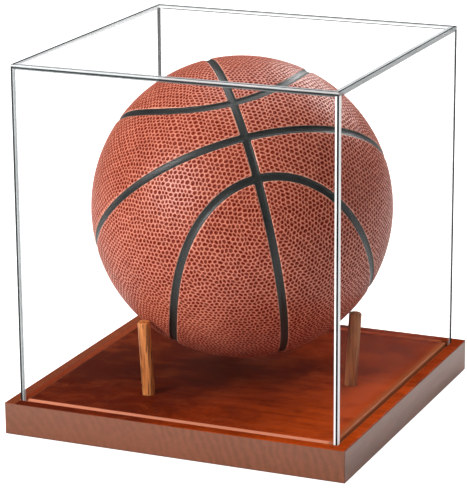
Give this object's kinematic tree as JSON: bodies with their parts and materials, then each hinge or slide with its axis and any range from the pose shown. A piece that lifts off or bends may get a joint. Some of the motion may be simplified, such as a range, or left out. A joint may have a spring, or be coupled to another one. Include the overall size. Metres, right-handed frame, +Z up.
{
  "type": "basketball display case",
  "caption": "Square wooden base with leaning pegs that hold a basketball under a lift-off clear acrylic cover.",
  "frame": {"origin": "centre of the surface it stands on, under the middle of the base", "axes": "+Z up through the middle of the base and the ball, -Y towards the front, +X to the right"},
  "size_m": [0.283, 0.283, 0.2931],
  "materials": {
    "varnished_base": "semi-gloss cherry varnish",
    "peg_wood": "satin stained oak",
    "felt": "felt",
    "clear_acrylic": "polished clear",
    "ball_leather": "pebbled",
    "channel_rubber": "satin",
    "nylon_winding": "thread",
    "bladder_rubber": "matt",
    "valve_rubber": "matt"
  },
  "bodies": {
    "base": {"base_slab": "varnished_base", "peg_right": "peg_wood", "peg_front_left": "peg_wood", "peg_back_left": "peg_wood", "foot_front_left": "felt", "foot_front_right": "felt", "foot_back_left": "felt", "foot_back_right": "felt"},
    "cover": {"cover_top": "clear_acrylic", "cover_front": "clear_acrylic", "cover_back": "clear_acrylic", "cover_left": "clear_acrylic", "cover_right": "clear_acrylic"},
    "ball": {"ball_strip_panel_1": "ball_leather", "ball_strip_panel_2": "ball_leather", "ball_strip_panel_3": "ball_leather", "ball_strip_panel_4": "ball_leather", "ball_oval_panel_1": "ball_leather", "ball_oval_panel_2": "ball_leather", "ball_oval_panel_3": "ball_leather", "ball_oval_panel_4": "ball_leather", "ball_channel_strips": "channel_rubber", "ball_carcass": "channel_rubber", "ball_winding": "nylon_winding", "ball_bladder": "bladder_rubber", "ball_valve": "valve_rubber"}
  },
  "joints": [
    {"name": "cover_lift", "type": "slide", "parent": "base", "child": "cover", "axis": [0, 0, 1], "range_m": [0, 0.275]},
    {"name": "ball_turn", "type": "hinge", "parent": "base", "child": "ball", "pos_m": [0, 0, 0.16285], "axis": [0, 0, 1], "continuous": true}
  ]
}
